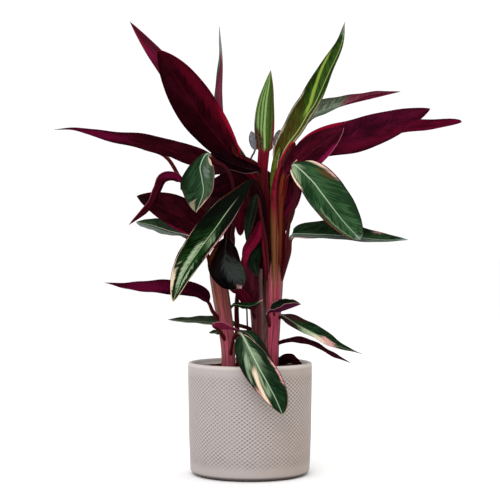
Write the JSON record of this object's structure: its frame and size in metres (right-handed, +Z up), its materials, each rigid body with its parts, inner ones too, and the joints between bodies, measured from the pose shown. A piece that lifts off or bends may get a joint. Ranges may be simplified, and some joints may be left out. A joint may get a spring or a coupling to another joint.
{
  "type": "potted stromanthe triostar",
  "caption": "Prayer plant with patterned pointed leaves on striped canes, growing in soil in a knit-textured cylindrical pot.",
  "frame": {"origin": "centre of the pot's flat foot", "axes": "+Z up along the pot's axis, -Y towards the plant's best side, +X to its right"},
  "size_m": [0.6282, 0.324, 0.7034],
  "materials": {
    "pot_stoneware": "satin",
    "soil": "matte",
    "cane_skin": "satin",
    "leaf_blade": "satin"
  },
  "bodies": {
    "root": {"back_cane": "cane_skin", "centre_cane": "cane_skin", "leaf_back_left_fall": "leaf_blade", "leaf_back_left_rise": "leaf_blade", "leaf_back_low": "leaf_blade", "leaf_back_right_fall": "leaf_blade", "leaf_back_right_rise": "leaf_blade", "leaf_back_spoon_left": "leaf_blade", "leaf_back_spoon_right": "leaf_blade", "leaf_back_twisted": "leaf_blade", "leaf_centre_dark": "leaf_blade", "leaf_centre_dark_back": "leaf_blade", "leaf_centre_hanging": "leaf_blade", "leaf_centre_low_green": "leaf_blade", "leaf_centre_red": "leaf_blade", "leaf_centre_red_back": "leaf_blade", "leaf_centre_under": "leaf_blade", "leaf_centre_young": "leaf_blade", "leaf_front_droop": "leaf_blade", "leaf_front_droop_back": "leaf_blade", "leaf_inner_red": "leaf_blade", "leaf_inner_small": "leaf_blade", "leaf_left_back_green": "leaf_blade", "leaf_left_curl": "leaf_blade", "leaf_left_droop_small": "leaf_blade", "leaf_left_long": "leaf_blade", "leaf_left_low": "leaf_blade", "leaf_left_low_green": "leaf_blade", "leaf_left_low_tiny": "leaf_blade", "leaf_left_mid": "leaf_blade", "leaf_left_slender": "leaf_blade", "leaf_over_rim": "leaf_blade", "leaf_over_rim_back": "leaf_blade", "leaf_right_behind": "leaf_blade", "leaf_right_droop": "leaf_blade", "leaf_right_flat": "leaf_blade", "leaf_right_great": "leaf_blade", "leaf_right_low_folded": "leaf_blade", "leaf_right_low_green": "leaf_blade", "leaf_right_low_narrow": "leaf_blade", "leaf_right_short": "leaf_blade", "leaf_right_tall": "leaf_blade", "leaf_right_under": "leaf_blade", "leaf_soil_round": "leaf_blade", "leaf_top_narrow": "leaf_blade", "leaf_upper_left_behind": "leaf_blade", "leaf_upper_left_great": "leaf_blade", "left_cane": "cane_skin", "pot": "pot_stoneware", "potting_soil": "soil", "right_cane": "cane_skin"}
  },
  "joints": []
}
